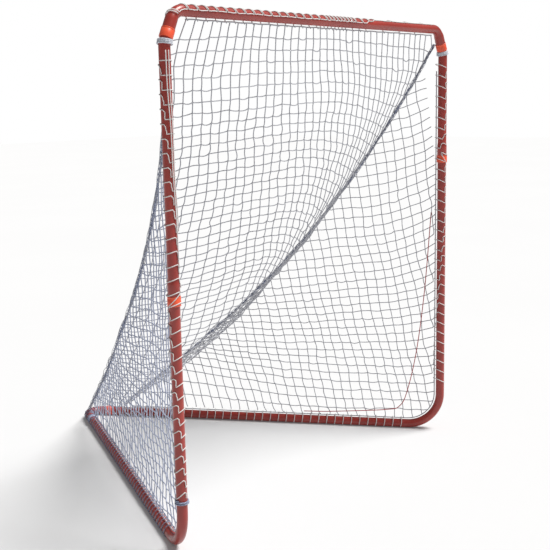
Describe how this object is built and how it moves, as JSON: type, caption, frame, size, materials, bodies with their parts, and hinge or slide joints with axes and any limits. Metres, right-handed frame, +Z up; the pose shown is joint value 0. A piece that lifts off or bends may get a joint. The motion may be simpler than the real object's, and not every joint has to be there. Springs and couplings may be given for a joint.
{
  "type": "lacrosse goal",
  "caption": "Portable lacrosse goal: plugged steel tube frame with a square mouth, V-shaped ground legs meeting at a rear apex, orange collars and a laced pyramid net.",
  "frame": {"origin": "on the ground, under the middle of the bounding box", "axes": "+Z up, -Y out through the mouth, +Y towards the rear apex, +X to the right seen from the front"},
  "size_m": [1.7383, 1.5148, 1.8338],
  "materials": {
    "painted_tube": "satin",
    "orange_collar": "satin",
    "zinc_steel": "satin",
    "net_twine": "matte",
    "seam_rope": "matte",
    "red_cord": "matte"
  },
  "bodies": {
    "frame": {"top_section": "painted_tube", "left_upper_post": "painted_tube", "left_base_section": "painted_tube", "right_upper_post": "painted_tube", "right_base_section": "painted_tube", "left_corner_collar": "orange_collar", "left_corner_button_clip": "zinc_steel", "right_corner_collar": "orange_collar", "right_corner_button_clip": "zinc_steel", "left_post_collar": "orange_collar", "left_post_button_clip": "zinc_steel", "right_post_collar": "orange_collar", "right_post_button_clip": "zinc_steel", "apex_collar": "orange_collar", "apex_button_clip": "zinc_steel", "back_net": "net_twine", "top_net_edge_cord": "net_twine", "top_lacing_cord": "net_twine", "left_side_net": "net_twine", "left_net_edge_cord": "net_twine", "left_post_lacing_cord": "net_twine", "left_leg_lacing_cord": "seam_rope", "left_seam_rope": "seam_rope", "left_corner_tie": "seam_rope", "right_side_net": "net_twine", "right_net_edge_cord": "net_twine", "right_post_lacing_cord": "net_twine", "right_leg_lacing_cord": "seam_rope", "right_seam_rope": "seam_rope", "right_corner_tie": "seam_rope", "left_foot_tie": "seam_rope", "apex_tie": "seam_rope", "red_tie_cord": "red_cord"},
    "left_corner_button": {"left_corner_button": "zinc_steel"},
    "right_corner_button": {"right_corner_button": "zinc_steel"},
    "left_post_button": {"left_post_button": "zinc_steel"},
    "right_post_button": {"right_post_button": "zinc_steel"},
    "apex_button": {"apex_button": "zinc_steel"}
  },
  "joints": [
    {"name": "left_corner_button_press", "type": "slide", "parent": "frame", "child": "left_corner_button", "axis": [0, -1, 0], "range_m": [0, 0.0055], "stiffness_N_per_m": 1500},
    {"name": "right_corner_button_press", "type": "slide", "parent": "frame", "child": "right_corner_button", "axis": [0, -1, 0], "range_m": [0, 0.0055], "stiffness_N_per_m": 1500},
    {"name": "left_post_button_press", "type": "slide", "parent": "frame", "child": "left_post_button", "axis": [0, -1, 0], "range_m": [0, 0.0055], "stiffness_N_per_m": 1500},
    {"name": "right_post_button_press", "type": "slide", "parent": "frame", "child": "right_post_button", "axis": [0, -1, 0], "range_m": [0, 0.0055], "stiffness_N_per_m": 1500},
    {"name": "apex_button_press", "type": "slide", "parent": "frame", "child": "apex_button", "axis": [-0.8762, -0.482, 0], "range_m": [0, 0.0055], "stiffness_N_per_m": 1500}
  ]
}
